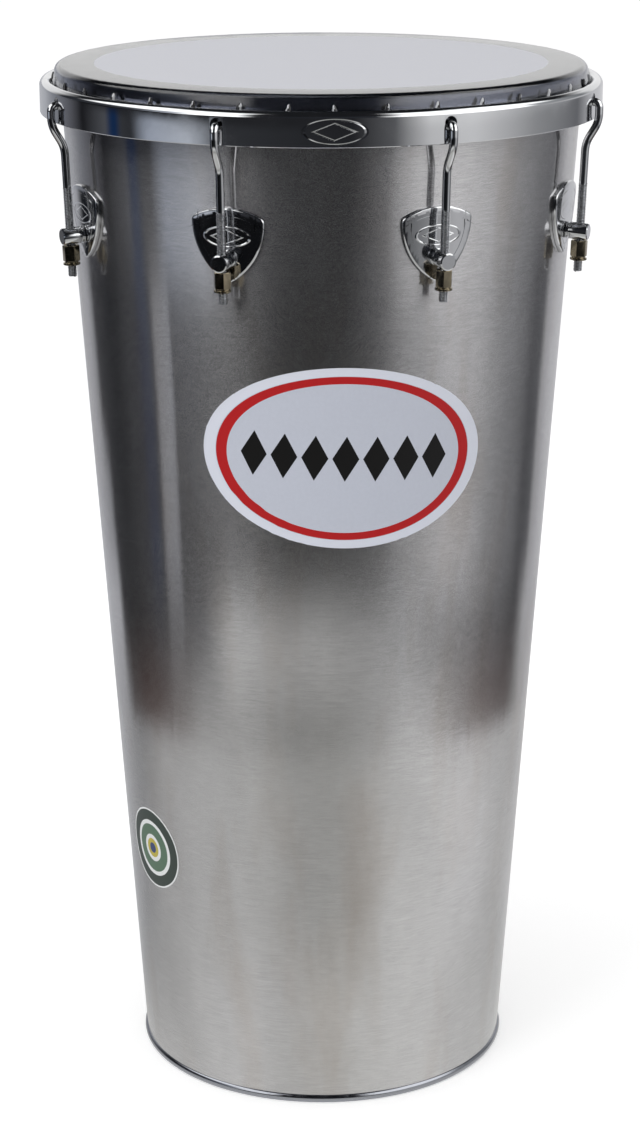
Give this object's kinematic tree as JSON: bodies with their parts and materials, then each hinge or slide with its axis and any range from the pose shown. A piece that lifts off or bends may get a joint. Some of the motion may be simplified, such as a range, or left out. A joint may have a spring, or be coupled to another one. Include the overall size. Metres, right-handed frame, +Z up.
{
  "type": "timbal drum",
  "caption": "Tall tapered metal hand drum with an open foot, a round coated head and a chromed counterhoop held by hooked rods and nuts.",
  "frame": {"origin": "centre of the foot, on the floor the drum stands on", "axes": "+Z up along the drum's axis, towards the head; -Y is the front, midway between two lugs; +X to the right seen from the front"},
  "size_m": [0.3758, 0.3758, 0.704],
  "materials": {
    "aluminium_shell": "polished aluminium sheet with a fine grain that runs round the drum",
    "head_film": "clear polyester film with a white matte coating out to 151 mm from the centre",
    "flesh_hoop": "plain extruded aluminium",
    "chrome_hoop": "bright chrome plate on a rolled steel band",
    "chrome_plate": "bright chrome plate on a cast plate",
    "chrome_post": "bright chrome plate on a turned post",
    "chrome_rod": "bright chrome plate on a bent rod with a rolled thread",
    "warm_nut": "steel with a warm nickel plate",
    "zinc_screw": "zinc plated steel",
    "zinc_washer": "zinc plated steel"
  },
  "bodies": {
    "drum_shell": {"shell": "aluminium_shell", "lug_plate_1": "chrome_plate", "lug_plate_2": "chrome_plate", "lug_plate_3": "chrome_plate", "lug_plate_4": "chrome_plate", "lug_plate_5": "chrome_plate", "lug_plate_6": "chrome_plate", "lug_plate_7": "chrome_plate", "lug_plate_8": "chrome_plate", "lug_post_1": "chrome_post", "lug_post_2": "chrome_post", "lug_post_3": "chrome_post", "lug_post_4": "chrome_post", "lug_post_5": "chrome_post", "lug_post_6": "chrome_post", "lug_post_7": "chrome_post", "lug_post_8": "chrome_post", "lug_screw_1": "zinc_screw", "lug_screw_2": "zinc_screw", "lug_screw_3": "zinc_screw", "lug_screw_4": "zinc_screw", "lug_screw_5": "zinc_screw", "lug_screw_6": "zinc_screw", "lug_screw_7": "zinc_screw", "lug_screw_8": "zinc_screw", "lug_washer_1": "zinc_washer", "lug_washer_2": "zinc_washer", "lug_washer_3": "zinc_washer", "lug_washer_4": "zinc_washer", "lug_washer_5": "zinc_washer", "lug_washer_6": "zinc_washer", "lug_washer_7": "zinc_washer", "lug_washer_8": "zinc_washer"},
    "rim": {"counterhoop": "chrome_hoop", "head_film": "head_film", "flesh_hoop": "flesh_hoop", "tension_rod_1": "chrome_rod", "tension_rod_2": "chrome_rod", "tension_rod_3": "chrome_rod", "tension_rod_4": "chrome_rod", "tension_rod_5": "chrome_rod", "tension_rod_6": "chrome_rod", "tension_rod_7": "chrome_rod", "tension_rod_8": "chrome_rod"},
    "nut_1": {"tension_nut_1": "warm_nut"},
    "nut_2": {"tension_nut_2": "warm_nut"},
    "nut_3": {"tension_nut_3": "warm_nut"},
    "nut_4": {"tension_nut_4": "warm_nut"},
    "nut_5": {"tension_nut_5": "warm_nut"},
    "nut_6": {"tension_nut_6": "warm_nut"},
    "nut_7": {"tension_nut_7": "warm_nut"},
    "nut_8": {"tension_nut_8": "warm_nut"}
  },
  "joints": [
    {"name": "rim_lift", "type": "slide", "parent": "drum_shell", "child": "rim", "axis": [0, 0, 1], "range_m": [0, 0.008]},
    {"name": "nut_1_turn", "type": "hinge", "parent": "drum_shell", "child": "nut_1", "pos_m": [0.06914, -0.16693, 0.59387], "axis": [-0.0147, 0.0355, -0.9993], "range_deg": [0, 2880]},
    {"name": "nut_2_turn", "type": "hinge", "parent": "drum_shell", "child": "nut_2", "pos_m": [0.16693, -0.06914, 0.59387], "axis": [-0.0355, 0.0147, -0.9993], "range_deg": [0, 2880]},
    {"name": "nut_3_turn", "type": "hinge", "parent": "drum_shell", "child": "nut_3", "pos_m": [0.16693, 0.06914, 0.59387], "axis": [-0.0355, -0.0147, -0.9993], "range_deg": [0, 2880]},
    {"name": "nut_4_turn", "type": "hinge", "parent": "drum_shell", "child": "nut_4", "pos_m": [0.06914, 0.16693, 0.59387], "axis": [-0.0147, -0.0355, -0.9993], "range_deg": [0, 2880]},
    {"name": "nut_5_turn", "type": "hinge", "parent": "drum_shell", "child": "nut_5", "pos_m": [-0.06914, 0.16693, 0.59387], "axis": [0.0147, -0.0355, -0.9993], "range_deg": [0, 2880]},
    {"name": "nut_6_turn", "type": "hinge", "parent": "drum_shell", "child": "nut_6", "pos_m": [-0.16693, 0.06914, 0.59387], "axis": [0.0355, -0.0147, -0.9993], "range_deg": [0, 2880]},
    {"name": "nut_7_turn", "type": "hinge", "parent": "drum_shell", "child": "nut_7", "pos_m": [-0.16693, -0.06914, 0.59387], "axis": [0.0355, 0.0147, -0.9993], "range_deg": [0, 2880]},
    {"name": "nut_8_turn", "type": "hinge", "parent": "drum_shell", "child": "nut_8", "pos_m": [-0.06914, -0.16693, 0.59387], "axis": [0.0147, 0.0355, -0.9993], "range_deg": [0, 2880]}
  ],
  "couplings": [
    {"joint": "nut_1_turn", "follows": "rim_lift", "rad_per_m": 6283.2},
    {"joint": "nut_2_turn", "follows": "rim_lift", "rad_per_m": 6283.2},
    {"joint": "nut_3_turn", "follows": "rim_lift", "rad_per_m": 6283.2},
    {"joint": "nut_4_turn", "follows": "rim_lift", "rad_per_m": 6283.2},
    {"joint": "nut_5_turn", "follows": "rim_lift", "rad_per_m": 6283.2},
    {"joint": "nut_6_turn", "follows": "rim_lift", "rad_per_m": 6283.2},
    {"joint": "nut_7_turn", "follows": "rim_lift", "rad_per_m": 6283.2},
    {"joint": "nut_8_turn", "follows": "rim_lift", "rad_per_m": 6283.2}
  ]
}
